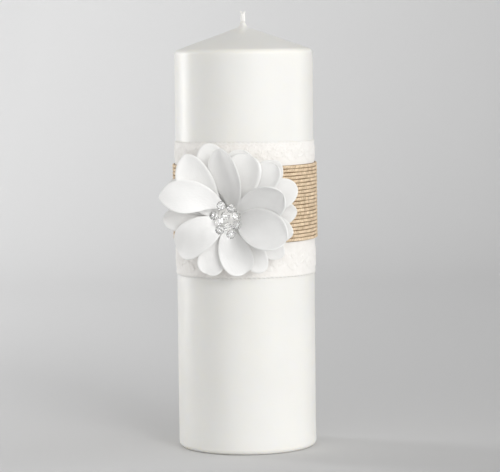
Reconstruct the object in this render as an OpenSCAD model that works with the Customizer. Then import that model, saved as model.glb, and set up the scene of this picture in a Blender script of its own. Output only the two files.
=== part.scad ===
// Unity candle: an ivory wax pillar with a coned top, dressed with a lace band,
// a corded ribbon and a stitched satin flower with a glass bead centre.
// Millimetres, +Z up. The origin is the centre of the flat base, and the flower faces -Y.

/* [Candle] */
// Outer diameter of the wax pillar
candle_d = 76; // [70:1:80]
// Height of the shoulder, where the side meets the coned top
shoulder_h = 219; // [205:1:230]
// Rise of the coned top above the shoulder
cone_rise = 12; // [8:1:16]
// Thickness of the hard outer wax
overdip_t = 1.2; // [0.8:0.1:2]
// Radius that rounds the shoulder and the foot
edge_r = 3; // [2:0.5:4]
// Diameter of the waxed wick
wick_d = 2.6; // [1.6:0.1:3]
// Length of wick that stands above the wax
wick_exposed = 9; // [5:0.5:12]
// Diameter of the tin disc that holds the wick in the base
sustainer_d = 20; // [14:1:28]

/* [Bands] */
// Height of the lower edge of the lace
lace_low = 95.5; // [92:0.5:98]
// Width of the lace band
lace_w = 73.5; // [68:0.5:78]
// Thickness of the lace
lace_t = 0.5; // [0.4:0.1:0.7]
// Height of the lower edge of the corded ribbon
ribbon_low = 115.5; // [112:0.5:118]
// Number of cords across the ribbon
cord_count = 21; // [15:1:25]
// Distance from one cord to the next
cord_pitch = 1.97; // [1.8:0.01:2.1]
// How far a cord stands out from the ribbon's backing
cord_rise = 0.9; // [0.8:0.1:1.1]

/* [Flower] */
// Height of the flower's centre
flower_z = 129; // [126:1:132]
// Thickness of one satin petal
petal_t = 0.4; // [0.3:0.05:0.5]
// Radius at which the petals leave the stitched hub
petal_root = 4.5; // [4.4:0.1:5]
// Diameter of the felt disc behind the flower
felt_d = 26; // [20:1:30]
// Diameter of a glass bead in the centre
bead_d = 4.8; // [4.4:0.1:4.8]

/* [Hidden] */
$fn = 96;
gap = 0.05;                         // air between pieces that only touch

// Candle
candle_r = candle_d / 2;
core_r = candle_r - overdip_t;
cone_tip_r = 1.6;                   // the cone ends in a small flat round the wick
cone_slope = atan(cone_rise / (candle_r - edge_r - cone_tip_r));
tip_h = shoulder_h + cone_rise;
wick_channel_d = wick_d + 0.1;
wick_top = tip_h + wick_exposed;
strand_len = 2.2;                   // the cut end opens into two strands
collar_h = 2.6;                     // wax that climbs the foot of the wick
sustainer_t = 0.4;
sustainer_recess = 0.8;
neck_d = 4;
neck_h = 4;

// Bands
tape_t = 0.1;
lace_r = candle_r + tape_t;
lace_out = lace_r + lace_t;
lace_gap = 1.2;                     // degrees left open where the lace ends meet
backing_t = 0.2;
backing_r = lace_out + gap;
cord_r = backing_r + backing_t;
ribbon_out = cord_r + cord_rise;
ribbon_w = cord_count * cord_pitch;
lap_angle = 16;                     // the end of the ribbon overlaps its start
glue_t = 0.25;
lap_r = ribbon_out + glue_t;

// Flower, in its own frame: u to the right, v up, w out of the candle
flower_y = ribbon_out + 0.6;        // w = 0 lies this far in front of the axis
felt_t = 0.8;
glue_d = 18;
hub_r = petal_root - 0.1;
hub_high = 6.6;

// Bead centre: a domed pad on the hub, with the glass beads glued into it and to each other
pad_neck_r = 3.8;
pad_neck_h = 2;
pad_r = 5.6;
pad_rim_w = 11;
pad_top_w = 13.6;
bead_bore = 1.0;
// Middle of each bead, in the flower's frame
BEADS = [
    [-2.6,  7.2, 13.2],
    [ 3.2,  5.6, 15.0],
    [ 0.2,  1.9, 16.0],
    [ 5.6,  1.8, 13.0],
    [-3.5, -1.1, 14.6],
    [ 5.6, -3.1, 12.4],
    [-6.8,  1.8, 12.2],
    [-3.6, -5.8, 12.8],
    [ 1.0, -3.9, 14.2],
    [ 2.2, -8.2, 11.8]
];

// Petals, one row each:
// [heading, side shift, lift, length, width, tip roundness, rise at root, rise at tip,
//  cup, roll, turn, waist], in degrees and millimetres.
// The heading is measured from +u, and the turn bends the petal sideways as it leaves.
// A large waist makes a petal slender near its root.
OUTER = [
    [ 151,    0, 2.4, 33, 17, 0.60,  9,   4, 10,   0,   0,  0.9],
    [ 107,    0, 1.4, 37, 18, 0.60, 10,   3, 12,   0,   0,  0.9],
    [  77,    0, 2.4, 33, 20, 0.50, 11,   5, 12,   0,   0,  0.9],
    [  47,    0, 1.6, 36, 18, 0.60,  8,   4, 12,   0,   0,  0.9],
    [  24,    0, 2.8, 36, 17, 0.60, 13,   1, 10,   0,   2,  0.9],
    [   5,    0, 1.1, 32, 16, 0.60,  6,   0, 10,   0,   1,  0.9],
    [ -14,    0, 2.4, 31, 16, 0.60,  9,   0,  8,   0,   1,  0.9],
    [ -34,    0, 1.7, 31, 15, 0.60,  7,   1,  8,   0,  -2,  0.9],
    [-179,    0, 1.3, 32, 15, 0.55,  7,   0, 10,   0,   1,  0.9]
];
MIDDLE = [
    [ 142,  1.5,   4, 39, 20, 0.60, 27,   2, 18, -18, -37,  0.9],
    [  70, -0.5, 3.6, 33, 21, 0.45, 26,   6, 32, -24,  -1,  0.9],
    [  43,   -1, 3.4, 36, 16, 0.40, 21,   6, 36, -14,  10,  0.9],
    [ -56,    0, 3.2, 30, 14, 0.50, 14,   3, 12,   0,   0,  0.9],
    [-112,    0, 3.2, 29, 16, 0.55, 17,   3, 15,   0,   0,  0.9]
];
INNER = [
    [ 123,   -1, 6.4, 40, 18, 0.72, 52, -12, 12,  -2,  63,  1.6],
    [  72,    1, 4.2, 39, 26, 0.55, 31,   6, 55, -36,  37,  0.9],
    [  22,    0, 5.2, 38, 21, 0.50, 36,  32, 38,  14,   1,  0.9],
    [ -10,  0.5,   6, 38, 22, 0.50, 45,  20, 36,  -4, -12,  0.9],
    [ -87, -0.5, 4.8, 28, 18, 0.55, 30,  -8, 20,   0,  29,  0.9],
    [-153,    0, 4.8, 32, 20, 0.52, 40, -34, 17,   5,   7, 0.75]
];
PETAL_ROWS = 12;                    // steps along a petal
PETAL_COLS = 8;                     // steps across it

BEAD_NAMES = [for (i = [1:len(BEADS)]) str("bead_", i)];
OUTER_NAMES = [for (i = [1:len(OUTER)]) str("outer_petal_", i)];
MIDDLE_NAMES = [for (i = [1:len(MIDDLE)]) str("middle_petal_", i)];
INNER_NAMES = [for (i = [1:len(INNER)]) str("inner_petal_", i)];

// ---- Helpers ----

// Points on a round corner, from angle a0 to a1 about a centre
function corner(centre, r, a0, a1, steps = 8) =
    [for (i = [0:steps]) let (a = a0 + (a1 - a0) * i / steps) centre + r * [cos(a), sin(a)]];

// Half outline of the pillar, inset by a constant wall
function pillar_outline(inset) =
    let (
        r = candle_r - inset,
        round_r = edge_r - inset / 2,
        top = shoulder_h - inset,
        tip = tip_h - inset,
        low = corner([r - round_r, round_r], round_r, -90, 0),
        high = corner([r - round_r, top - round_r], round_r, 0, 90 - cone_slope)
    )
    concat([[0, 0]], low, high, [[cone_tip_r, tip], [0, tip]]);

// A sleeve round the candle's axis
module sleeve(r_in, r_out, low, h) {
    translate([0, 0, low])
        difference() {
            cylinder(r = r_out, h = h);
            translate([0, 0, -1])
                cylinder(r = r_in, h = h + 2);
        }
}

// Part of a sleeve, centred on the back of the candle (+Y)
module back_strip(r_in, r_out, low, h, angle) {
    rotate([0, 0, 90 - angle / 2])
        translate([0, 0, low])
            rotate_extrude(angle = angle)
                translate([r_in, 0])
                    square([r_out - r_in, h]);
}

// Section of one raised cord, a half oval that stands out from radius r
function cord_section(r, steps = 8) =
    [for (i = [0:steps]) let (a = -90 + 180 * i / steps)
        [r + cord_rise * cos(a), cord_pitch * 0.48 * sin(a)]];

// Moves a child from the flower's frame (X = u, Y = v, Z = w) to the candle's
module at_flower() {
    translate([0, -flower_y, flower_z])
        rotate([90, 0, 0])
            children();
}

// ---- Petal surface ----

// Half width along the petal, 1 at its widest; s runs from 0 at the root to 1 at the tip
function outline_at(s, tip, waist) = pow(s + 0.06, waist) * pow(1 - s, tip);
function half_width(s, tip, waist) =
    outline_at(s, tip, waist) / outline_at((waist - 0.06 * tip) / (waist + tip), tip, waist);

// Steps are closer together near the tip, where the outline is round
function along(i) = 1 - pow(1 - i / PETAL_ROWS, 1.5);

function heading_at(p, s) = p[0] + p[10] * (1 - (1 - s) * (1 - s));
function rise_at(p, s) = p[6] + (p[7] - p[6]) * s;
function forward(p, s) =
    let (h = heading_at(p, s), e = rise_at(p, s))
    [cos(e) * cos(h), cos(e) * sin(h), sin(e)];

// Centre line, added up step by step from the root
function centre_line(p) =
    [for (
        i = 0,
        at = [petal_root * cos(p[0]) - p[1] * sin(p[0]), petal_root * sin(p[0]) + p[1] * cos(p[0]), p[2]];
        i <= PETAL_ROWS;
        step = i < PETAL_ROWS ? (forward(p, along(i)) + forward(p, along(i + 1))) / 2 : [0, 0, 0],
        at = at + step * p[3] * (i < PETAL_ROWS ? along(i + 1) - along(i) : 0),
        i = i + 1
    ) at];

// Across direction and face normal of the petal at s, after its roll
function across(p, s) =
    let (h = heading_at(p, s), side = [-sin(h), cos(h), 0], up = cross(forward(p, s), side))
    cos(p[9]) * side + sin(p[9]) * up;
function face_normal(p, s) = cross(forward(p, s), across(p, s));

// One skin of the petal, shift away from its middle surface
function petal_skin(p, shift) =
    let (line = centre_line(p), deg = 180 / PI)
    [for (i = [0:PETAL_ROWS], j = [0:PETAL_COLS])
        let (
            s = along(i),
            reach = i == PETAL_ROWS ? 0.15 : p[4] / 2 * half_width(s, p[5], p[11]),
            t = (2 * j / PETAL_COLS - 1) * p[8],
            bend = reach * deg / p[8],
            out = across(p, s) * sin(t) + face_normal(p, s) * (1 - cos(t)),
            tilt = face_normal(p, s) * cos(t) - across(p, s) * sin(t)
        )
        line[i] + out * bend + tilt * shift];

// A petal as one thin closed solid, in the flower's frame
module petal(p) {
    cols = PETAL_COLS + 1;
    count = (PETAL_ROWS + 1) * cols;
    top = petal_skin(p, petal_t / 2);
    bottom = petal_skin(p, -petal_t / 2);
    faces = concat(
        [for (i = [0:PETAL_ROWS - 1], j = [0:PETAL_COLS - 1])
            let (a = i * cols + j) each [[a, a + 1, a + cols], [a + 1, a + cols + 1, a + cols]]],
        [for (i = [0:PETAL_ROWS - 1], j = [0:PETAL_COLS - 1])
            let (a = count + i * cols + j) each [[a, a + cols, a + 1], [a + 1, a + cols, a + cols + 1]]],
        [for (i = [0:PETAL_ROWS - 1])
            let (a = i * cols) each [[a, a + cols, count + a], [count + a, a + cols, count + a + cols]]],
        [for (i = [0:PETAL_ROWS - 1])
            let (a = i * cols + PETAL_COLS)
            each [[a, count + a, a + cols], [count + a, count + a + cols, a + cols]]],
        [for (j = [0:PETAL_COLS - 1]) each [[j, count + j, j + 1], [j + 1, count + j, count + j + 1]]],
        [for (j = [0:PETAL_COLS - 1])
            let (a = PETAL_ROWS * cols + j) each [[a, a + 1, count + a], [a + 1, count + a + 1, count + a]]]
    );
    polyhedron(concat(top, bottom), faces, convexity = 4);
}

// ---- Candle ----

module wax_core() {
    color("ivory")
        difference() {
            rotate_extrude()
                polygon(pillar_outline(overdip_t));
            translate([0, 0, -1])
                cylinder(d = wick_channel_d, h = tip_h + 2);
            translate([0, 0, -1])
                cylinder(d = sustainer_d + 0.4, h = 1 + sustainer_recess);
            translate([0, 0, -1])
                cylinder(d = neck_d + 0.2, h = 1 + neck_h + 0.6);
        }
}

module overdip_coat() {
    color("floralwhite")
        difference() {
            union() {
                rotate_extrude()
                    polygon(pillar_outline(0));
                translate([0, 0, tip_h - 0.6])
                    cylinder(r1 = 2.6, r2 = wick_d / 2 + 0.25, h = collar_h);
            }
            rotate_extrude()
                polygon(pillar_outline(overdip_t));
            translate([0, 0, -1])
                cylinder(d = wick_channel_d, h = tip_h + collar_h + 2);
        }
}

module wick() {
    stem_top = wick_top - strand_len;
    color("white") {
        translate([0, 0, sustainer_recess])
            cylinder(d = wick_d, h = stem_top - sustainer_recess);
        for (side = [-1, 1])
            translate([side * 0.45, 0, stem_top - 0.3])
                rotate([0, side * 14, 0])
                    cylinder(d1 = 1.1, d2 = 0.7, h = strand_len);
    }
}

module wick_sustainer() {
    disc_low = sustainer_recess - sustainer_t;
    color("silver")
        difference() {
            union() {
                translate([0, 0, disc_low])
                    cylinder(d = sustainer_d, h = sustainer_t);
                translate([0, 0, disc_low])
                    cylinder(d = neck_d, h = neck_h);
            }
            translate([0, 0, -1])
                cylinder(d = wick_channel_d, h = neck_h + 3);
        }
}

// ---- Bands ----

module lace_band() {
    color("linen")
        rotate([0, 0, 90 + lace_gap / 2])
            translate([0, 0, lace_low])
                rotate_extrude(angle = 360 - lace_gap)
                    translate([lace_r, 0])
                        square([lace_t, lace_w]);
}

module lace_tape() {
    color("white")
        back_strip(candle_r, lace_r, lace_low + 1, lace_w - 2, 20);
}

module ribbon_backing() {
    color("tan")
        sleeve(backing_r, cord_r, ribbon_low, ribbon_w);
}

module ribbon_cords() {
    color("burlywood")
        for (i = [0:cord_count - 1])
            translate([0, 0, ribbon_low + (i + 0.5) * cord_pitch])
                rotate_extrude()
                    polygon(cord_section(cord_r));
}

module ribbon_lap() {
    color("burlywood")
        rotate([0, 0, 90 - lap_angle / 2])
            translate([0, 0, ribbon_low])
                rotate_extrude(angle = lap_angle)
                    union() {
                        translate([lap_r, 0])
                            square([backing_t, ribbon_w]);
                        for (i = [0:cord_count - 1])
                            translate([0, (i + 0.5) * cord_pitch])
                                polygon(cord_section(lap_r + backing_t - 0.02));
                    }
}

module ribbon_lap_glue() {
    color("white")
        back_strip(ribbon_out, lap_r, ribbon_low + 4, ribbon_w - 8, lap_angle - 6);
}

// ---- Flower ----

module flower_glue() {
    color("whitesmoke")
        difference() {
            translate([0, -flower_y, flower_z])
                rotate([-90, 0, 0])
                    cylinder(d = glue_d, h = 3, $fn = 180);
            cylinder(r = ribbon_out, h = tip_h, $fn = 360);
        }
}

module felt_disc() {
    color("white")
        at_flower()
            cylinder(d = felt_d, h = felt_t);
}

module flower_hub() {
    color("snow")
        at_flower()
            translate([0, 0, felt_t])
                cylinder(r = hub_r, h = hub_high - felt_t);
}

// The pad flares over the petal roots, and each bead sits in a pocket of it
module bead_pad() {
    rise = pad_top_w - pad_rim_w;
    dome_r = (pad_r * pad_r + rise * rise) / (2 * rise);
    half_angle = asin(pad_r / dome_r);
    dome = [for (i = [0:12])
        let (a = half_angle * (1 - i / 12))
        [dome_r * sin(a), pad_top_w - dome_r + dome_r * cos(a)]];
    color("ghostwhite")
        at_flower()
            difference() {
                rotate_extrude()
                    polygon(concat(
                        [[0, hub_high], [pad_neck_r, hub_high], [pad_neck_r, hub_high + pad_neck_h]],
                        dome
                    ));
                for (middle = BEADS)
                    translate(middle)
                        sphere(d = bead_d + 2 * gap);
            }
}

// A round glass bead, drilled through, with its bore along the ring that it sits on
module glass_bead(middle) {
    color("azure")
        at_flower()
            translate(middle)
                rotate([0, 0, atan2(middle[1], middle[0])])
                    rotate([90, 0, 0])
                        difference() {
                            sphere(d = bead_d);
                            cylinder(d = bead_bore, h = bead_d + 1, center = true);
                        }
}

// ---- Nodes ----

wax_core();
overdip_coat();
wick();
wick_sustainer();
lace_band();
lace_tape();
ribbon_backing();
ribbon_cords();
ribbon_lap();
ribbon_lap_glue();
flower_glue();
felt_disc();
flower_hub();
bead_pad();
for (i = [0:len(BEADS) - 1])
    glass_bead(BEADS[i]);
for (i = [0:len(OUTER) - 1])
    color("white") at_flower() petal(OUTER[i]);
for (i = [0:len(MIDDLE) - 1])
    color("white") at_flower() petal(MIDDLE[i]);
for (i = [0:len(INNER) - 1])
    color("white") at_flower() petal(INNER[i]);
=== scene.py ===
"""Unity candle: the visual model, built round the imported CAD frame.

Metres, +Z up, the flower faces -Y. Sizes in the mesh code are millimetres.
"""
import math

import bpy
import numpy as np
from mathutils import Matrix, Vector


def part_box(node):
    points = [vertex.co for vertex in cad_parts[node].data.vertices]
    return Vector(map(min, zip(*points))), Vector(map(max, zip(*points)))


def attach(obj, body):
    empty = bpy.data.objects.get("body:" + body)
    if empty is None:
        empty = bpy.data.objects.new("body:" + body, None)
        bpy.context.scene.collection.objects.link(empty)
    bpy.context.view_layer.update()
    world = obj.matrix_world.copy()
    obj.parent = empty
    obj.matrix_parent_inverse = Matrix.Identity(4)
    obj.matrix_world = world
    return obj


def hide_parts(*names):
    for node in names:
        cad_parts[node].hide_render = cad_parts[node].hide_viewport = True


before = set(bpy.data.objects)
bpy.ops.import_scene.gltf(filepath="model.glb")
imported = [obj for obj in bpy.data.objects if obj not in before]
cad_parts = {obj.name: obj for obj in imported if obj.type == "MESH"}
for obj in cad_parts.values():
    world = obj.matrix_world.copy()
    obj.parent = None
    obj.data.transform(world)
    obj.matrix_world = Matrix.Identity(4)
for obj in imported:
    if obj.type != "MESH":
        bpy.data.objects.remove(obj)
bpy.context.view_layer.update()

MM = 0.001
TURN = 2 * math.pi

# ---- Sizes, in millimetres, read from the frame where it holds them ----


def node_box(node):
    """Lowest and highest corner of a CAD node, in millimetres."""
    low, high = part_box(node)
    return np.array(low) / MM, np.array(high) / MM


CANDLE_R = node_box("overdip_coat")[1][0]
CORE_R = node_box("wax_core")[1][0]
TIP_H = node_box("wax_core")[1][2] + (CANDLE_R - CORE_R)
CONE_RISE = 12.0
SHOULDER_H = TIP_H - CONE_RISE
EDGE_R = 3.0
CONE_TIP_R = 1.6
WICK_TOP = node_box("wick")[1][2]
WICK_R = node_box("wick")[1][1]
RUN_AZIMUTH = math.radians(4)  # where the drop of wax ran down the cone, from straight in front
RUN_LENGTH = 12.0
RUN_RISE = 1.4
RUN_HALF_WIDTH = 1.9

lace_low, lace_high = node_box("lace_band")
LACE_R = lace_high[0]
ribbon_low, ribbon_high = node_box("ribbon_backing")
BACKING_R = ribbon_high[0]
CORD_OUT = node_box("ribbon_cords")[1][0]
CORD_COUNT = 21
RIBBON_DROOP = 0.7  # how much lower the ribbon runs in front than beside
RIBBON_SLIP = -0.35  # how far the whole ribbon has slipped down

felt_low, felt_high = node_box("felt_disc")
FLOWER_Y = -felt_high[1]
FLOWER_Z = (felt_low[2] + felt_high[2]) / 2
BEAD_R = (node_box("bead_1")[1][2] - node_box("bead_1")[0][2]) / 2
BEAD_COUNT = 10


# ---- Mesh helpers ----


def make_piece(name, verts, faces, uv=None, smooth=True):
    """A mesh object from points in millimetres. uv is one pair for each point, or None."""
    mesh = bpy.data.meshes.new(name)
    faces = faces.tolist() if isinstance(faces, np.ndarray) else faces
    mesh.from_pydata((np.asarray(verts) * MM).tolist(), [], faces)
    if uv is not None:
        layer = mesh.uv_layers.new(name="cloth")
        corner_points = np.empty(len(mesh.loops), dtype=np.int64)
        mesh.loops.foreach_get("vertex_index", corner_points)
        layer.data.foreach_set("uv", np.asarray(uv, dtype=np.float32)[corner_points].ravel())
    mesh.polygons.foreach_set("use_smooth", [smooth] * len(mesh.polygons))
    mesh.update()
    piece = bpy.data.objects.new(name, mesh)
    bpy.context.scene.collection.objects.link(piece)
    return piece


def grid_faces(rows, cols, close_rows=False, close_cols=False, flip=False):
    """Quads over a grid of points stored row by row."""
    i = np.arange(rows if close_rows else rows - 1)
    j = np.arange(cols if close_cols else cols - 1)
    i, j = np.meshgrid(i, j, indexing="ij")
    i, j = i.ravel(), j.ravel()
    i2, j2 = (i + 1) % rows, (j + 1) % cols
    quads = np.stack([i * cols + j, i * cols + j2, i2 * cols + j2, i2 * cols + j], axis=1)
    return quads[:, ::-1] if flip else quads


class Parts:
    """Collects several closed surfaces into one mesh."""

    def __init__(self):
        self.verts, self.faces, self.count = [], [], 0

    def add(self, verts, faces):
        verts = np.asarray(verts, dtype=float).reshape(-1, 3)
        self.verts.append(verts)
        self.faces.extend((np.asarray(faces) + self.count).tolist())
        self.count += len(verts)

    def add_cap(self, ring, flip=False):
        """One flat face over the ring of points, given by their numbers in the whole mesh."""
        face = [int(k) for k in ring]
        self.faces.append(face[::-1] if flip else face)

    def piece(self, name, smooth=True):
        return make_piece(name, np.concatenate(self.verts), self.faces, smooth=smooth)


def lathe(profile, steps):
    """Surface of revolution about Z. profile is a list of (radius, height)."""
    profile = np.asarray(profile, dtype=float)
    angle = np.linspace(0, TURN, steps, endpoint=False)
    ring = np.stack([np.cos(angle), np.sin(angle)], axis=1)
    verts = np.empty((len(profile), steps, 3))
    verts[:, :, :2] = profile[:, None, :1] * ring[None]
    verts[:, :, 2] = profile[:, None, 1]
    return verts


def frames_along(path):
    """Two directions across the path at each of its points, turning as little as they can."""
    path = np.asarray(path, dtype=float)
    forward = np.gradient(path, axis=0)
    forward /= np.linalg.norm(forward, axis=1, keepdims=True)
    start = np.array([1.0, 0, 0]) if abs(forward[0][0]) < 0.8 else np.array([0, 1.0, 0])
    side = np.empty_like(path)
    for i, f in enumerate(forward):
        start = start - f * start.dot(f)
        start /= np.linalg.norm(start)
        side[i] = start
    return side, np.cross(forward, side)


def add_tube(parts, path, radius, sides=8):
    """A closed tube along the path. radius is one number, or one for each point."""
    path = np.asarray(path, dtype=float)
    side, up = frames_along(path)
    angle = np.linspace(0, TURN, sides, endpoint=False)[None, :, None]
    radius = np.broadcast_to(radius, (len(path),))[:, None, None]
    ring = side[:, None] * np.cos(angle) + up[:, None] * np.sin(angle)
    verts = path[:, None] + radius * ring
    first = parts.count
    parts.add(verts, grid_faces(len(path), sides, close_cols=True))
    last = first + (len(path) - 1) * sides
    parts.add_cap(range(first, first + sides), flip=True)
    parts.add_cap(range(last, last + sides))


def arc(centre, radius, start, end, steps):
    """Points on a round corner, angles in degrees."""
    angle = np.radians(np.linspace(start, end, steps + 1))
    return [(centre[0] + radius * math.cos(a), centre[1] + radius * math.sin(a))
            for a in angle]


def to_candle(points):
    """From the flower's frame (u right, v up, w outwards) to the candle's."""
    u, v, w = np.moveaxis(np.asarray(points, dtype=float), -1, 0)
    return np.stack([u, -FLOWER_Y - w, FLOWER_Z + v], axis=-1)


# ---- Materials ----


class Surface:
    """A node-based material with one principled shader."""

    def __init__(self, name, **sockets):
        self.material = bpy.data.materials.new(name)
        self.material.use_nodes = True
        self.nodes = self.material.node_tree.nodes
        self.links = self.material.node_tree.links
        self.shader = self.nodes["Principled BSDF"]
        for socket, value in sockets.items():
            self.shader.inputs[socket.replace("_", " ")].default_value = value
        self.where = self.nodes.new("ShaderNodeTexCoord")

    def place(self, scale, space="Object"):
        """Coordinates stretched by scale, for a texture."""
        node = self.nodes.new("ShaderNodeMapping")
        node.inputs["Scale"].default_value = scale
        self.links.new(self.where.outputs[space], node.inputs["Vector"])
        return node.outputs["Vector"]

    def noise(self, scale, space="Object", detail=4.0, stretch=(1, 1, 1), distortion=0.0):
        node = self.nodes.new("ShaderNodeTexNoise")
        node.inputs["Scale"].default_value = scale
        node.inputs["Detail"].default_value = detail
        node.inputs["Distortion"].default_value = distortion
        self.links.new(self.place(stretch, space), node.inputs["Vector"])
        return node.outputs["Fac"]

    def wave(self, scale, direction, space="Object", distortion=0.0, stretch=(1, 1, 1)):
        node = self.nodes.new("ShaderNodeTexWave")
        node.wave_type = "BANDS"
        node.bands_direction = direction
        node.inputs["Scale"].default_value = scale
        node.inputs["Distortion"].default_value = distortion
        self.links.new(self.place(stretch, space), node.inputs["Vector"])
        return node.outputs["Fac"]

    def gradient(self, axis, start, end):
        """0 to 1 as the place along an axis goes from start to end, in metres."""
        split = self.nodes.new("ShaderNodeSeparateXYZ")
        self.links.new(self.where.outputs["Object"], split.inputs[0])
        node = self.nodes.new("ShaderNodeMapRange")
        node.inputs["From Min"].default_value = start
        node.inputs["From Max"].default_value = end
        self.links.new(split.outputs[axis], node.inputs["Value"])
        return node.outputs["Result"]

    def maths(self, operation, first, second):
        node = self.nodes.new("ShaderNodeMath")
        node.operation = operation
        for socket, value in zip(node.inputs, (first, second)):
            if isinstance(value, (int, float)):
                socket.default_value = value
            else:
                self.links.new(value, socket)
        return node.outputs[0]

    def ramp(self, fac, low, high, start=0.3, end=0.7):
        """A colour from low to high as fac goes from start to end."""
        node = self.nodes.new("ShaderNodeValToRGB")
        node.color_ramp.elements[0].position = start
        node.color_ramp.elements[1].position = end
        node.color_ramp.elements[0].color = (*low, 1)
        node.color_ramp.elements[1].color = (*high, 1)
        self.links.new(fac, node.inputs["Fac"])
        return node.outputs["Color"]

    def remap(self, fac, low, high):
        node = self.nodes.new("ShaderNodeMapRange")
        node.inputs["To Min"].default_value = low
        node.inputs["To Max"].default_value = high
        self.links.new(fac, node.inputs["Value"])
        return node.outputs["Result"]

    def colour(self, output):
        self.links.new(output, self.shader.inputs["Base Color"])

    def roughness(self, output):
        self.links.new(output, self.shader.inputs["Roughness"])

    def bump(self, height, distance, strength=1.0):
        """Raises the surface by height times distance, in metres. Several calls add up."""
        node = self.nodes.new("ShaderNodeBump")
        node.inputs["Strength"].default_value = strength
        node.inputs["Distance"].default_value = distance
        self.links.new(height, node.inputs["Height"])
        link = self.shader.inputs["Normal"].links
        if link:
            self.links.new(link[0].from_socket, node.inputs["Normal"])
        self.links.new(node.outputs["Normal"], self.shader.inputs["Normal"])


def wax_coat_material():
    s = Surface("overdip_wax", Roughness=0.42, IOR=1.44,
                Subsurface_Weight=0.35, Subsurface_Scale=0.004)
    s.shader.inputs["Subsurface Radius"].default_value = (1.0, 0.85, 0.6)
    s.colour(s.ramp(s.noise(18, detail=5), (0.812, 0.79, 0.732), (0.845, 0.823, 0.77)))
    s.roughness(s.remap(s.noise(60, detail=3), 0.34, 0.5))
    s.bump(s.noise(45, detail=2), 0.0004, 0.25)
    s.bump(s.noise(900, detail=3), 0.00003, 0.4)
    return s.material


def wax_core_material():
    s = Surface("core_wax", Roughness=0.6, IOR=1.44,
                Subsurface_Weight=0.3, Subsurface_Scale=0.004)
    s.colour(s.ramp(s.noise(120, detail=6), (0.72, 0.70, 0.63), (0.80, 0.78, 0.71)))
    s.bump(s.noise(400, detail=5), 0.0003, 0.5)
    return s.material


def cotton_material():
    s = Surface("waxed_cotton", Roughness=0.5, Sheen_Weight=0.2)
    s.colour(s.ramp(s.noise(900, stretch=(1, 1, 0.15)), (0.80, 0.79, 0.765), (0.90, 0.89, 0.87)))
    s.bump(s.noise(2600, stretch=(1, 1, 0.1)), 0.0001, 0.7)
    return s.material


def tin_material():
    s = Surface("tin_plate", Metallic=1.0, Roughness=0.35)
    s.colour(s.ramp(s.noise(500, detail=6), (0.50, 0.50, 0.49), (0.66, 0.66, 0.65)))
    s.roughness(s.remap(s.noise(1200, detail=4), 0.25, 0.5))
    s.bump(s.noise(2500, stretch=(1, 0.1, 1)), 0.00003, 0.4)
    return s.material


def lace_material():
    s = Surface("lace_cotton", Roughness=0.75, Sheen_Weight=0.25)
    s.colour(s.ramp(s.noise(260, detail=5), (0.805, 0.78, 0.745), (0.845, 0.825, 0.795)))
    across = s.wave(0.55, "X", "UV")
    along = s.wave(0.55, "Y", "UV")
    s.bump(s.maths("MAXIMUM", across, along), 0.00008, 0.55)
    s.bump(s.noise(3000, detail=3), 0.00005, 0.4)
    return s.material


def tape_material():
    s = Surface("mounting_tape", Roughness=0.5)
    s.colour(s.ramp(s.noise(300), (0.80, 0.80, 0.78), (0.86, 0.86, 0.84)))
    return s.material


def jute_backing_material():
    s = Surface("jute_backing", Roughness=0.9, Sheen_Weight=0.2)
    s.colour(s.ramp(s.noise(700, detail=6), (0.20, 0.11, 0.045), (0.36, 0.22, 0.10)))
    s.bump(s.maths("MAXIMUM", s.wave(0.5, "X", "UV"), s.wave(0.5, "Y", "UV")), 0.0002, 0.8)
    return s.material


def jute_cord_material():
    s = Surface("jute_cord", Roughness=0.7, Sheen_Weight=0.35, Sheen_Roughness=0.4)
    s.shader.inputs["Sheen Tint"].default_value = (1.0, 0.85, 0.6, 1)
    fibres = s.noise(1.6, "UV", detail=6, stretch=(0.4, 1.6, 1))
    # Bands that follow the twist of the plies, highest in the grooves between them.
    ply = s.wave(0.05, "Y", "UV")
    patches = s.noise(330, detail=3)
    mix = s.maths("ADD", s.maths("MULTIPLY", fibres, 0.5), s.maths("MULTIPLY", patches, 0.35))
    # The grooves between the plies are darkened in the colour: painted shade.
    mix = s.maths("SUBTRACT", mix, s.maths("MULTIPLY", ply, 0.07))
    s.colour(s.ramp(mix, (0.44, 0.30, 0.17), (0.98, 0.80, 0.58), 0.27, 0.49))
    s.bump(fibres, 0.0003, 0.8)
    return s.material


def glue_material():
    s = Surface("hot_glue", Roughness=0.25)
    s.colour(s.ramp(s.noise(400), (0.82, 0.81, 0.78), (0.88, 0.87, 0.84)))
    s.bump(s.noise(500, detail=2), 0.0002, 0.5)
    return s.material


def pad_shade_material():
    s = Surface("bead_pad_glue", Roughness=0.3)
    # The glue's grey tone, darker than the other glue, is painted shade under and between the
    # beads, which cast none.
    s.colour(s.ramp(s.noise(400), (0.62, 0.61, 0.59), (0.74, 0.73, 0.705)))
    s.bump(s.noise(500, detail=2), 0.0002, 0.5)
    return s.material


def felt_material():
    s = Surface("white_felt", Roughness=0.95, Sheen_Weight=0.4)
    s.colour(s.ramp(s.noise(1500, detail=8), (0.74, 0.74, 0.72), (0.86, 0.86, 0.84)))
    s.bump(s.noise(2200, detail=6, distortion=1.5), 0.0002, 0.9)
    return s.material


def bead_material():
    s = Surface("bead_glass", Roughness=0.0, IOR=1.52, Transmission_Weight=1.0)
    s.colour(s.ramp(s.noise(300), (0.95, 0.955, 0.96), (0.99, 0.99, 0.99)))
    return s.material


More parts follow.
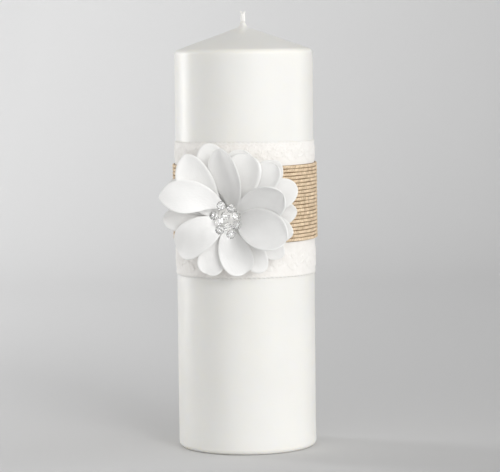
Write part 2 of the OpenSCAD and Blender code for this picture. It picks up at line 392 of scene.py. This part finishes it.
def satin_material():
    s = Surface("petal_satin", Roughness=0.5, Sheen_Weight=0.12,
                Subsurface_Weight=0.2, Subsurface_Scale=0.001)
    s.shader.inputs["Subsurface Radius"].default_value = (1.0, 1.0, 1.0)
    s.shader.inputs["Sheen Roughness"].default_value = 0.35
    s.colour(s.ramp(s.noise(140, detail=4), (0.83, 0.825, 0.81), (0.86, 0.855, 0.84)))
    s.roughness(s.remap(s.noise(2.2, "UV", stretch=(4, 0.4, 1)), 0.42, 0.6))
    warp = s.wave(0.9, "X", "UV")
    weft = s.maths("MULTIPLY", s.wave(0.9, "Y", "UV"), 0.4)
    s.bump(s.maths("MAXIMUM", warp, weft), 0.00003, 0.35)
    s.bump(s.noise(1.1, "UV", detail=3, stretch=(1, 0.35, 1)), 0.0003, 0.3)
    return s.material


def floor_material():
    """Pale paper with painted shade: darker to the right, and a little darker towards the front."""
    s = Surface("studio_paper_painted_shade", Roughness=0.85)
    # Painted shade: the paper darkens from left to right across the floor and backdrop.
    across = s.remap(s.gradient("X", -0.5, 0.5), 0.87, 0.48)
    # Painted shade: a little darker towards the front, from 0.85 m back to 0.25 m.
    painted_shade_front = s.remap(s.gradient("Y", 0.25, 0.85), 0.92, 1.0)
    grain = s.remap(s.noise(700, detail=2), 0.985, 1.015)
    s.colour(s.maths("MULTIPLY", s.maths("MULTIPLY", across, painted_shade_front), grain))
    return s.material


# ---- Candle ----


COLLAR_TOP = TIP_H + 1.5  # wax climbs this far up the wick


def pillar_profile():
    """Outline of the dipped pillar: flat foot, edge, side, rounded shoulder, cone and collar."""
    flat_r = CANDLE_R - EDGE_R
    slope = math.degrees(math.atan(CONE_RISE / (flat_r - CONE_TIP_R)))
    foot = [(flat_r, 0)] + arc((flat_r, EDGE_R), EDGE_R, -90, 0, 10)
    side = [(CANDLE_R, h) for h in np.linspace(EDGE_R, SHOULDER_H - EDGE_R, 60)]
    shoulder = arc((flat_r, SHOULDER_H - EDGE_R), EDGE_R, 0, 90 - slope, 10)
    start = shoulder[-1]
    end = (2.9, TIP_H - 0.5)
    cone = [(start[0] + (end[0] - start[0]) * f, start[1] + (end[1] - start[1]) * f)
            for f in 1 - (1 - np.linspace(0, 1, 40)[1:]) ** 1.4]
    collar = [(2.3, TIP_H - 0.1), (1.95, TIP_H + 0.4), (1.72, TIP_H + 1.0), (1.6, COLLAR_TOP)]
    return foot + side[1:] + shoulder[1:] + cone + collar


def wax_run(points):
    """Height of the drop of wax that ran from the wick down the front of the cone."""
    x, y, z = np.moveaxis(points, -1, 0)
    forwards = x * math.sin(RUN_AZIMUTH) - y * math.cos(RUN_AZIMUTH)
    aside = x * math.cos(RUN_AZIMUTH) + y * math.sin(RUN_AZIMUTH)
    on_front = (forwards > 0.5) * (z > SHOULDER_H)
    along = np.clip(1 - (forwards - 1.5) / RUN_LENGTH, 0, 1) * on_front
    return RUN_RISE * along * np.exp(-(aside / RUN_HALF_WIDTH) ** 2)


def dipped_pillar():
    """The outer wax, with the faint unevenness of hand dipping, closed round the core in it."""
    outer = pillar_profile()
    wall = CANDLE_R - CORE_R
    bore = WICK_R + 0.05
    lining = CORE_R + 0.02
    inner = [(bore, COLLAR_TOP), (bore, TIP_H - wall + 0.3),
             (CORE_R - 2.2, SHOULDER_H - wall + 0.02), (lining, SHOULDER_H - wall - 2.4),
             (lining, EDGE_R), (CORE_R - 2.2, 0.0)]
    profile = np.array(outer + inner)
    steps = 256
    verts = lathe(profile, steps)
    angle = np.linspace(0, TURN, steps, endpoint=False)[None]
    height = profile[: len(outer), 1][:, None]
    even_foot, even_top = 12, 20  # the unevenness fades out over these heights
    fade = np.clip(height / even_foot, 0, 1) * np.clip((TIP_H - height) / even_top, 0, 1)
    wobble = 0.05 * np.sin(3 * angle + height / 41) + 0.04 * np.sin(5 * angle - height / 23 + 1.3)
    wobble += 0.03 * np.sin(height / 9 + 2 * np.sin(angle))
    scale = 1 - fade * (0.1 + wobble) / CANDLE_R
    verts[: len(outer), :, :2] *= scale[..., None]
    verts[: len(outer), :, 2] += wax_run(verts[: len(outer)])
    faces = grid_faces(len(profile), steps, close_rows=True, close_cols=True)
    return make_piece("dipped_pillar", verts.reshape(-1, 3), faces)


def braided_wick():
    """A plain core inside the wax, and three strands plaited above it, cut and opened out."""
    parts = Parts()
    low = node_box("wick")[0][2]
    add_tube(parts, [(0, 0, h) for h in np.linspace(low, TIP_H - 1, 12)], WICK_R * 0.98, 16)
    plait_low, plait_high = TIP_H - 2, WICK_TOP - 1.9
    plait_turns, plait_rows, tip_rows = 4.35, 60, 8
    cut_ends = np.array([(0.8, -0.1, 1.5), (-0.75, 0.1, 1.6), (-0.1, 0.3, 0.3)])
    for k, cut_end in enumerate(cut_ends):
        turn = np.linspace(0, 1, plait_rows)
        phase = TURN * (turn * plait_turns + k / 3)
        tight = 1 - 0.08 * turn
        path = np.stack([0.64 * tight * np.sin(phase), 0.42 * tight * np.sin(2 * phase),
                         plait_low + (plait_high - plait_low) * turn], axis=1)
        root = path[-1]
        tip = root + np.linspace(0, 1, tip_rows + 1)[1:, None] * cut_end
        spread = np.linspace(0.3, 1, tip_rows)[:, None]
        tip[:, :2] = root[:2] + (tip[:, :2] - root[:2]) * spread
        thickness = np.concatenate([np.full(plait_rows, 0.74), np.linspace(0.68, 0.5, tip_rows)])
        add_tube(parts, np.concatenate([path, tip]), thickness, 10)
    return parts.piece("braided_wick")


# ---- Bands ----


LACE_REPEATS = 16
LACE_SCALLOPS = 96
LACE_DEPTH = 0.44
LACE_TAPER = 2.2  # the lace thins towards its edges over this width


def lace_height(x, z, height):
    """Relief of the lace at x along it and z across it: flowers, stems, leaves and corded edges."""
    pitch = TURN * LACE_R / LACE_REPEATS
    relief = np.zeros_like(x)

    def raise_cord(distance, width, amount):
        np.maximum(relief, amount * np.exp(-(distance / width) ** 2), out=relief)

    for centre_z, size in ((10.0, 4.3), (height - 6.4, 3.2)):
        for shift, scale in ((0.0, 1.0), (0.5, 0.62)):
            u = ((x / pitch + shift) % 1.0 - 0.5) * pitch
            v = z - centre_z
            radius = np.hypot(u, v)
            turn = np.arctan2(v, u) + shift * 2
            petal = size * scale * (0.74 + 0.26 * np.cos(5 * turn))
            inside = 1 / (1 + np.exp((radius - petal) / 0.18))
            np.maximum(relief, inside * (0.22 + 0.05 * np.cos(20 * turn)), out=relief)
            raise_cord(radius - petal, 0.32, 0.42)
            raise_cord(radius - 0.22 * size * scale, 0.3, 0.45)
        stem = centre_z + 0.62 * size * np.sin(TURN * x / pitch)
        raise_cord(z - stem, 0.34, 0.3)
        for side in (-1, 1):
            u = ((x / pitch + 0.25 * side + 0.5) % 1.0 - 0.5) * pitch
            v = z - centre_z - side * 0.9 * size
            lean = 0.6 * side
            a = u * math.cos(lean) + v * math.sin(lean)
            b = -u * math.sin(lean) + v * math.cos(lean)
            leaf = np.hypot(a / (0.62 * size), b / (0.26 * size))
            np.maximum(relief, 0.24 / (1 + np.exp((leaf - 1) * 9)), out=relief)
            raise_cord((leaf - 1) * 0.26 * size, 0.28, 0.36)
    for edge in (1.0, height - 1.0):
        raise_cord(z - edge - 0.35 * np.sin(TURN * x / (pitch / 6)), 0.4, 0.34)
    return relief


def lace_sleeve():
    """The lace as one closed band: relief outside, plain inside, scalloped along both edges."""
    low, high = lace_low[2], lace_high[2]
    height = high - low
    ribbon_from, ribbon_to = ribbon_low[2] - low + 2, ribbon_high[2] - low - 2
    rows = np.concatenate([np.linspace(0, ribbon_from, 48),
                           np.linspace(ribbon_from, ribbon_to, 6)[1:],
                           np.linspace(ribbon_to, height, 34)[1:]])
    steps = 880
    angle = np.linspace(0, TURN, steps, endpoint=False) + math.pi / 2
    x = (angle - math.pi / 2) * LACE_R
    z_grid, x_grid = np.meshgrid(rows, x, indexing="ij")
    relief = lace_height(x_grid, z_grid, height)
    scallop = 0.55 * np.abs(np.sin(math.pi * x_grid / (TURN * LACE_R / LACE_SCALLOPS)))
    edge = np.clip(1 - z_grid / 3, 0, 1) - np.clip(1 - (height - z_grid) / 3, 0, 1)
    under_ribbon = (z_grid > ribbon_from - 1) & (z_grid < ribbon_to + 1)
    relief = np.where(under_ribbon, 0, relief)
    inner_r = LACE_R - LACE_DEPTH
    from_edge = np.clip(np.minimum(z_grid, height - z_grid) / LACE_TAPER, 0, 1)
    outer_r = inner_r + 0.08 + (0.04 + relief) * from_edge
    outer_z = low + z_grid + scallop * edge
    outer = np.stack([outer_r * np.cos(angle), outer_r * np.sin(angle), outer_z], axis=-1)
    inner = [np.stack([inner_r * np.cos(angle), inner_r * np.sin(angle), end_z], axis=-1)
             for end_z in (outer_z[-1], outer_z[0])]
    verts = np.concatenate([outer.reshape(-1, 3)] + inner)
    faces = grid_faces(len(rows) + 2, steps, close_rows=True, close_cols=True)
    uv_z = np.concatenate([rows, rows[-1:], rows[:1]])
    uv = np.stack(np.meshgrid(x, uv_z, indexing="xy"), axis=-1).reshape(-1, 2)
    return make_piece("lace_sleeve", verts, faces, uv=uv)


def ribbon_sleeve():
    """The ribbon's woven backing."""
    low, high = ribbon_low[2], ribbon_high[2]
    steps = 240
    thickness = 0.18
    profile = [(BACKING_R, h) for h in np.linspace(low, high, 12)]
    profile += [(BACKING_R - thickness, h) for h in np.linspace(high, low, 12)]
    verts = lathe(profile, steps).reshape(-1, 3)
    verts[:, 2] += RIBBON_SLIP + RIBBON_DROOP * verts[:, 1] / BACKING_R
    x = np.linspace(0, TURN * BACKING_R, steps, endpoint=False)
    uv = np.stack(np.meshgrid(x, [p[1] for p in profile], indexing="xy"), axis=-1).reshape(-1, 2)
    faces = grid_faces(len(profile), steps, close_rows=True, close_cols=True)
    return make_piece("ribbon_sleeve", verts, faces, uv=uv)


CORD_STEPS, CORD_SIDES = 700, 10


def twisted_cord(index):
    """Points and texture places of one flattened two-ply cord, once round the ribbon."""
    pitch = (ribbon_high[2] - ribbon_low[2]) / CORD_COUNT
    centre_z = ribbon_low[2] + (index + 0.5) * pitch
    angle = TURN * np.linspace(0, 1, CORD_STEPS, endpoint=False)
    section = np.linspace(-math.pi, math.pi, CORD_SIDES, endpoint=False)
    a, s = np.meshgrid(angle, section, indexing="ij")
    twist = 138 * a + 1.7 * index * index
    ply = 1 + 0.08 * np.cos(2 * s - twist)
    slack = 0.05 * np.sin(7 * a + index) + 0.04 * np.sin(17 * a + 2 * index)
    swell = 1 + 0.05 * np.sin(11 * a + 1.7 * index)
    out = BACKING_R + 0.47 + 0.42 * swell * ply * np.cos(s)
    z = centre_z + slack + 0.84 * pitch / 2 * swell * ply * np.sin(s)
    z = z + RIBBON_SLIP + RIBBON_DROOP * np.sin(a)
    verts = np.stack([out * np.cos(a), out * np.sin(a), z], axis=-1)
    uv = np.stack([a * BACKING_R + 31 * index, 2 * s - twist], axis=-1)
    return verts.reshape(-1, 3), uv.reshape(-1, 2)


def cord_group(name, indices):
    """Whole rings of cord as one piece."""
    ring = grid_faces(CORD_STEPS, CORD_SIDES, close_rows=True, close_cols=True)
    verts, uvs = zip(*(twisted_cord(index) for index in indices))
    faces = [ring + k * CORD_STEPS * CORD_SIDES for k in range(len(verts))]
    return make_piece(name, np.concatenate(verts), np.concatenate(faces), uv=np.concatenate(uvs))


FIBRE_COUNT = 420
FIBRE_R = 0.035


def jute_fibres():
    """Loose hairs that stand off the ribbon."""
    parts = Parts()
    local = np.random.default_rng(11)
    for _ in range(FIBRE_COUNT):
        angle = local.uniform(0, TURN)
        z = local.uniform(ribbon_low[2], ribbon_high[2])
        length = local.uniform(1.2, 3.6)
        lean = local.uniform(-0.6, 0.6)
        lift = local.uniform(0.1, 0.55)
        t = np.linspace(0, 1, 6)
        a = angle + local.choice([-1, 1]) * t * length / CORD_OUT
        r = CORD_OUT - 0.25 + lift * np.sin(math.pi * t * local.uniform(0.5, 1.0))
        z_path = z + lean * length * t * t + RIBBON_SLIP + RIBBON_DROOP * np.sin(a)
        path = np.stack([r * np.cos(a), r * np.sin(a), z_path], axis=1)
        add_tube(parts, path, FIBRE_R, 4)
    return parts.piece("jute_fibres")


# ---- Flower ----

# The CAD's petals, with their curves and tilts refined. Columns: heading, side shift, lift, length,
# width, tip (small is square), rise at the root, rise at the tip, cup, roll, turn, waist, and then
# how far the rim bends back and how wide the bend is. Angles in degrees.
PETALS = {
    "outer_petal_1": (151, 0, 2.4, 33, 17, 0.50, 9, 4, 10, 0, 0, 0.9, 30, 1.2),
    "outer_petal_2": (107, 0, 1.0, 37, 18, 0.50, 9, 4, 12, 0, 0, 0.9, 40, 1.5),
    "outer_petal_3": (77, 0, 2.4, 33, 20, 0.50, 11, 5, 12, 0, 0, 0.9, 40, 1.5),
    "outer_petal_4": (47, 0, 1.0, 36, 18, 0.60, 6, 1, 12, 0, 0, 0.9, 40, 1.5),
    "outer_petal_5": (24, 0, 3.1, 36, 17, 0.48, 10, -5, 10, 0, 2, 0.9, 30, 1.2),
    "outer_petal_6": (5, 0, 0.6, 32, 16, 0.60, 6, 0, 10, 0, 1, 0.9, 30, 1.2),
    "outer_petal_7": (-14, 0, 2.1, 31, 16, 0.60, 9, 0, 8, 0, 1, 0.9, 30, 1.2),
    "outer_petal_8": (-34, 0, 1.4, 31, 15, 0.60, 7, 1, 8, 0, -2, 0.9, 30, 1.2),
    "outer_petal_9": (-179, 0, 1.3, 32, 15, 0.55, 7, 0, 10, 0, 1, 0.9, 30, 1.2),
    "middle_petal_1": (142, 1.5, 4.0, 39, 20, 0.60, 27, 2, 18, -2, -37, 0.9, 50, 1.5),
    "middle_petal_2": (70, -0.5, 3.6, 33, 21, 0.36, 26, 6, 28, -10, -1, 0.9, 75, 2.4),
    "middle_petal_3": (43, -1, 3.4, 36, 16, 0.32, 21, 6, 30, -4, 10, 0.9, 60, 1.6),
    "middle_petal_4": (-56, 0, 3.2, 30, 14, 0.50, 14, 3, 12, 0, 0, 0.9, 35, 1.3),
    "middle_petal_5": (-112, 0, 3.2, 28, 15.5, 0.36, 17, 3, 15, 0, 0, 0.9, 40, 1.2),
    "inner_petal_1": (123, -1, 6.4, 40, 18, 0.80, 52, -12, 12, -2, 63, 1.6, 35, 1.2),
    "inner_petal_2": (72, 0.4, 4.2, 36, 23, 0.55, 31, 6, 55, -36, 37, 0.9, 60, 1.4),
    "inner_petal_3": (22, 0, 5.2, 38, 21, 0.43, 36, 32, 38, 14, 1, 0.9, 80, 1.3),
    "inner_petal_4": (-10, 0.5, 6.0, 38, 22, 0.50, 45, 20, 32, -10, -12, 0.9, 80, 1.3),
    "inner_petal_5": (-87, -0.5, 4.8, 27.5, 18, 0.42, 30, -8, 20, 0, 29, 0.9, 35, 1.0),
    "inner_petal_6": (-153, 0, 4.8, 32, 20, 0.50, 38, -46, 17, 12, 7, 0.75, 30, 1.2),
}
# Petals folded along a line instead of evenly cupped: the fold's place across the petal, from
# -1 to 1, the angle of the wide side, and the softness of the fold.
FOLDS = {"inner_petal_2": (0.3, 24, 0.75)}
PETAL_ROOT = 4.5  # how far from the flower's axis a petal starts
PETAL_T = 0.32


def half_width(s, tip, waist):
    """Half width along a petal, 1 at its widest. A large waist makes its root slender."""
    def outline(x):
        return (x + 0.06) ** waist * (1 - x) ** tip
    return outline(s) / outline((waist - 0.06 * tip) / (waist + tip))


def cross_section(reach, t, cup, fold, rim_bend, rim_w):
    """Places across and out of the petal at each row, from the slope across it."""
    if fold:
        place, flat_side, soft = fold
        steep_side = flat_side * (1 + place) / (1 - place)
        bend = (flat_side + steep_side) / 2 * np.tanh((t - place) / soft)
        slope = bend + (steep_side - flat_side) / 2
    else:
        slope = cup * t
    slope = np.broadcast_to(slope, (len(reach), len(t)))
    from_edge = reach[:, None] * (1 - np.abs(t))[None]
    near_rim = np.clip(1 - from_edge / np.minimum(rim_w, 0.5 * reach)[:, None], 0, 1)
    slope = np.radians(slope - np.sign(t)[None] * rim_bend * near_rim ** 1.5)
    step = reach[:, None] * np.diff(t)[None]
    middle = len(t) // 2
    across = np.zeros_like(slope)
    out = np.zeros_like(slope)
    mean = (slope[:, 1:] + slope[:, :-1]) / 2
    across[:, 1:] = np.cumsum(step * np.cos(mean), axis=1)
    out[:, 1:] = np.cumsum(step * np.sin(mean), axis=1)
    return across - across[:, middle: middle + 1], out - out[:, middle: middle + 1]


PETAL_ROWS, PETAL_COLS = 44, 40


def petal_surface(row, seed, fold):
    """Middle surface of a petal, its normals, its cloth coordinates and its flat area."""
    heading, shift, lift, length, width, tip, rise0, rise1, cup, roll, turn, waist = row[:12]
    rim_bend, rim_w = row[12:]
    local = np.random.default_rng(seed)
    s = 1 - (1 - np.linspace(0, 1, PETAL_ROWS + 1)) ** 1.8
    t = np.sin(np.linspace(-1, 1, PETAL_COLS + 1) * math.pi / 2)
    head = np.radians(heading + turn * (1 - (1 - s) ** 2))
    rise = np.radians(rise0 + (rise1 - rise0) * s)
    forward = np.stack([np.cos(rise) * np.cos(head), np.cos(rise) * np.sin(head),
                        np.sin(rise)], axis=1)
    first = np.radians(heading)
    start = np.array([PETAL_ROOT * np.cos(first) - shift * np.sin(first),
                      PETAL_ROOT * np.sin(first) + shift * np.cos(first), lift])
    steps = (forward[1:] + forward[:-1]) / 2 * (np.diff(s) * length)[:, None]
    centre = np.concatenate([[start], start + np.cumsum(steps, axis=0)])
    side = np.stack([-np.sin(head), np.cos(head), np.zeros_like(head)], axis=1)
    up = np.cross(forward, side)
    lean = np.radians(roll)
    across = math.cos(lean) * side + math.sin(lean) * up
    normal = np.cross(forward, across)
    reach = np.maximum(width / 2 * half_width(s, tip, waist), 0.12)
    sideways, raised = cross_section(reach, t, cup, fold, rim_bend, rim_w)
    grown = np.clip(s / 0.3, 0, 1)[:, None]
    for wave, size in ((2, 0.12), (3, 0.09), (5, 0.05)):
        phase = local.uniform(0, TURN, 2)
        ripple = np.sin(wave * math.pi * s[:, None] + phase[0]) * np.sin(wave * t[None] + phase[1])
        raised = raised + size * ripple * grown
    points = (centre[:, None] + sideways[..., None] * across[:, None]
              + raised[..., None] * normal[:, None])
    normals = np.cross(np.gradient(points, axis=0), np.gradient(points, axis=1))
    normals /= np.maximum(np.linalg.norm(normals, axis=2, keepdims=True), 1e-9)
    uv = np.stack(np.broadcast_arrays(reach[:, None] * t[None], length * s[:, None]), axis=-1)
    area = float(np.sum((reach[1:] + reach[:-1]) * np.diff(s)) * length)
    return points, normals, uv, area


def satin_petal(node, row, seed):
    """One formed petal as a thin closed sheet with a rounded edge."""
    points, normals, uv, area = petal_surface(row, seed, FOLDS.get(node))
    rows, cols = points.shape[:2]
    i = np.minimum(np.arange(rows), np.arange(rows)[::-1])
    j = np.minimum(np.arange(cols), np.arange(cols)[::-1])
    depth = np.minimum(i[:, None], j[None]).astype(float)
    half = PETAL_T / 2 * np.sqrt(np.clip((depth + 0.35) / 2.5, 0, 1))
    top = points + normals * half[..., None]
    bottom = points - normals * half[..., None]
    count = rows * cols
    top_faces = grid_faces(rows, cols)
    bottom_faces = grid_faces(rows, cols, flip=True) + count
    rim = np.concatenate([np.arange(cols), np.arange(1, rows) * cols + cols - 1,
                          (rows - 1) * cols + np.arange(cols - 2, -1, -1),
                          np.arange(rows - 2, 0, -1) * cols])
    after = np.roll(rim, -1)
    rim_faces = np.stack([after, rim, rim + count, after + count], axis=1)
    verts = to_candle(np.concatenate([top.reshape(-1, 3), bottom.reshape(-1, 3)]))
    faces = np.concatenate([top_faces, bottom_faces, rim_faces])
    piece = make_piece("satin_" + node, verts, faces, uv=np.concatenate([uv.reshape(-1, 2)] * 2))
    return piece, area


BEAD_FACETS = 10
BEAD_BORE = 0.55
BEAD_RINGS = (22, 46, 75, 105, 134, 158)  # degrees from the bore, one ring of corners each


def faceted_bead(centre, axis, tilt):
    """Corners and faces of a cut bead: flat facets in rings, and a hole along its axis."""
    axis = np.asarray(axis, dtype=float) / np.linalg.norm(axis)
    helper = np.array([0, 0, 1.0]) if abs(axis[2]) < 0.9 else np.array([1.0, 0, 0])
    x = np.cross(helper, axis)
    x /= np.linalg.norm(x)
    y = np.cross(axis, x)

    def ring(radius, height, half_turn):
        a = tilt + TURN * (np.arange(BEAD_FACETS) + 0.5 * half_turn) / BEAD_FACETS
        return centre + radius * (np.cos(a)[:, None] * x + np.sin(a)[:, None] * y) + height * axis

    polar = np.radians(BEAD_RINGS)
    rings = [ring(BEAD_R * math.sin(p), BEAD_R * math.cos(p), k % 2) for k, p in enumerate(polar)]
    rings.append(ring(BEAD_BORE, BEAD_R * math.cos(polar[-1]), 1))
    rings.append(ring(BEAD_BORE, BEAD_R * math.cos(polar[0]), 0))
    faces = []
    for k in range(len(rings)):
        following = (k + 1) % len(rings)
        for j in range(BEAD_FACETS):
            j2 = (j + 1) % BEAD_FACETS
            a, b = k * BEAD_FACETS + j, k * BEAD_FACETS + j2
            c, d = following * BEAD_FACETS + j2, following * BEAD_FACETS + j
            if k >= len(polar) - 1:
                faces.append([a, d, c, b])
            elif k % 2:
                faces += [[a, d, c], [a, c, b]]
            else:
                faces += [[a, d, b], [b, d, c]]
    return np.concatenate(rings), faces


# ---- Build ----

SATIN = satin_material()
CORD = jute_cord_material()
GLUE = glue_material()
FELT = felt_material()
GLASS = bead_material()


def finish_piece(piece, material, slot, *nodes):
    """Gives a piece its material and its body, and hides the CAD nodes it stands for. The slot is
    not used.
    """
    piece.data.materials.clear()
    piece.data.materials.append(material)
    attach(piece, "root")
    if nodes:
        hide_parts(*nodes)


def paint_node(node, material):
    """A CAD node keeps its shape and gets a better material."""
    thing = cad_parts[node]
    if thing.material_slots:
        for material_slot in thing.material_slots:
            material_slot.material = material
    else:
        thing.data.materials.append(material)


finish_piece(dipped_pillar(), wax_coat_material(), "wax_coat", "overdip_coat")
finish_piece(braided_wick(), cotton_material(), "wick_cotton", "wick")

lace = lace_sleeve()
finish_piece(lace, lace_material(), "lace", "lace_band")

cords_per_piece = CORD_COUNT // 3
for number, first in enumerate(range(0, CORD_COUNT, cords_per_piece), 1):
    group = cord_group("jute_cords_%d" % number, range(first, first + cords_per_piece))
    finish_piece(group, CORD, "cord", "ribbon_cords")
fibres = jute_fibres()
finish_piece(fibres, CORD, "cord")
ribbon = ribbon_sleeve()
finish_piece(ribbon, jute_backing_material(), "ribbon", "ribbon_backing")

for seed, (node, row) in enumerate(PETALS.items(), 1):
    petal, petal_area = satin_petal(node, row, seed)
    finish_piece(petal, SATIN, "satin", node)


def cut_bead(number):
    """One drilled and faceted bead in place of its plain CAD bead."""
    node = "bead_%d" % number
    low, high = node_box(node)
    middle = (low + high) / 2
    centre = np.array([middle[0], middle[2] - FLOWER_Z, -middle[1] - FLOWER_Y])
    angle = math.atan2(centre[1], centre[0])
    bore_axis = (-math.sin(angle), math.cos(angle), 0)
    corners, faces = faceted_bead(centre, bore_axis, tilt=0.37 * number)
    piece = make_piece("cut_" + node, to_candle(corners), faces, smooth=False)
    piece.visible_shadow = False  # clear glass lets the light through to the pad
    finish_piece(piece, GLASS, "glass_bead", node)


for number in range(1, BEAD_COUNT + 1):
    cut_bead(number)

paint_node("wax_core", wax_core_material())
paint_node("wick_sustainer", tin_material())
paint_node("lace_tape", tape_material())
paint_node("ribbon_lap", CORD)
paint_node("ribbon_lap_glue", GLUE)
paint_node("flower_glue", GLUE)
paint_node("felt_disc", FELT)
paint_node("flower_hub", FELT)
paint_node("bead_pad", pad_shade_material())


# ---- Studio ----

CAMERA_AZIMUTH = math.radians(11.0)
CAMERA_YAW = math.radians(0.11)
CAMERA_PITCH = math.radians(4.40)
CAMERA_ROLL = math.radians(-0.69)
CAMERA_DISTANCE = 1.271
CAMERA_HEIGHT = 0.2137
LENS_MM = 166.4
SENSOR_MM = 36.0


def studio_camera():
    """A long lens near the height of the candle's top, a little to the right, tilted down."""
    turn = Matrix.Rotation(CAMERA_AZIMUTH, 3, "Z")
    forward = Vector((math.sin(CAMERA_YAW) * math.cos(CAMERA_PITCH),
                      math.cos(CAMERA_YAW) * math.cos(CAMERA_PITCH), -math.sin(CAMERA_PITCH)))
    level = Vector((math.cos(CAMERA_YAW), -math.sin(CAMERA_YAW), 0))
    up = level.cross(forward)
    right = math.cos(CAMERA_ROLL) * level + math.sin(CAMERA_ROLL) * up
    top = -math.sin(CAMERA_ROLL) * level + math.cos(CAMERA_ROLL) * up
    basis = Matrix((turn @ right, turn @ top, turn @ -forward)).transposed().to_4x4()
    data = bpy.data.cameras.new("camera")
    data.lens = LENS_MM
    data.sensor_width = SENSOR_MM
    camera = bpy.data.objects.new("camera", data)
    place = turn @ Vector((0, -CAMERA_DISTANCE, CAMERA_HEIGHT))
    camera.matrix_world = Matrix.Translation(place) @ basis
    bpy.context.scene.collection.objects.link(camera)
    bpy.context.scene.camera = camera


def soft_light(name, azimuth, elevation, distance, size, power, target=(0, 0, 0.12)):
    """A rectangular soft box that faces the candle. Azimuth 0 is in front, 90 to the right."""
    a, e = math.radians(azimuth), math.radians(elevation)
    place = Vector((math.sin(a) * math.cos(e), -math.cos(a) * math.cos(e), math.sin(e))) * distance
    data = bpy.data.lights.new(name, "AREA")
    data.shape = "RECTANGLE"
    data.size, data.size_y = size
    data.energy = power
    light = bpy.data.objects.new(name, data)
    light.location = place + Vector(target)
    light.rotation_euler = (-place).to_track_quat("-Z", "Y").to_euler()
    bpy.context.scene.collection.objects.link(light)


def backdrop():
    """Pale floor that sweeps up behind the candle. Metres, until it is made."""
    front, sweep, bend_r, top = -2.6, 0.9, 0.7, 3.0
    curve = arc((sweep, bend_r), bend_r, -90, 0, 16)
    profile = np.array([(front, 0.0)] + curve + [(sweep + bend_r, top)]) / MM
    across = np.linspace(-3.0, 3.0, 13) / MM
    x, y, z = np.array([[side, back, up] for back, up in profile for side in across]).T
    c, s = math.cos(CAMERA_AZIMUTH), math.sin(CAMERA_AZIMUTH)
    verts = np.stack([x * c - y * s, x * s + y * c, z], axis=1)
    floor = make_piece("floor", verts, grid_faces(len(profile), len(across), flip=True))
    floor.data.materials.append(floor_material())


studio_camera()
backdrop()
# Azimuth, elevation, distance, (width, height) and power in watts of each soft box
for name, azimuth, elevation, distance, size, power in (
        ("key", 36, 16, 1.6, (0.6, 0.6), 9.0),
        ("key_right", 62, 6, 1.6, (0.6, 0.6), 3.2),
        ("side", 110, 8, 1.6, (0.6, 0.9), 4.4),
        ("fill", 4, 3, 1.8, (0.6, 0.8), 3.8),
        ("strip", -105, 1, 1.2, (0.3, 1.0), 12.0)):
    soft_light(name, azimuth, elevation, distance, size, power)


def studio_world():
    """A bright room, brightest in front of the candle on its right."""
    world = bpy.data.worlds.new("studio")
    world.use_nodes = True
    nodes, links = world.node_tree.nodes, world.node_tree.links
    where = nodes.new("ShaderNodeTexCoord")
    towards = nodes.new("ShaderNodeVectorMath")
    towards.operation = "DOT_PRODUCT"
    towards.inputs[1].default_value = (0.62, -0.52, -0.12)
    level = nodes.new("ShaderNodeMapRange")
    level.inputs["From Min"].default_value = -1
    links.new(where.outputs["Generated"], towards.inputs[0])
    links.new(towards.outputs["Value"], level.inputs["Value"])
    links.new(level.outputs["Result"], nodes["Background"].inputs["Color"])
    nodes["Background"].inputs["Strength"].default_value = 0.98
    return world


bpy.context.scene.world = studio_world()
bpy.context.scene.view_settings.view_transform = "Standard"
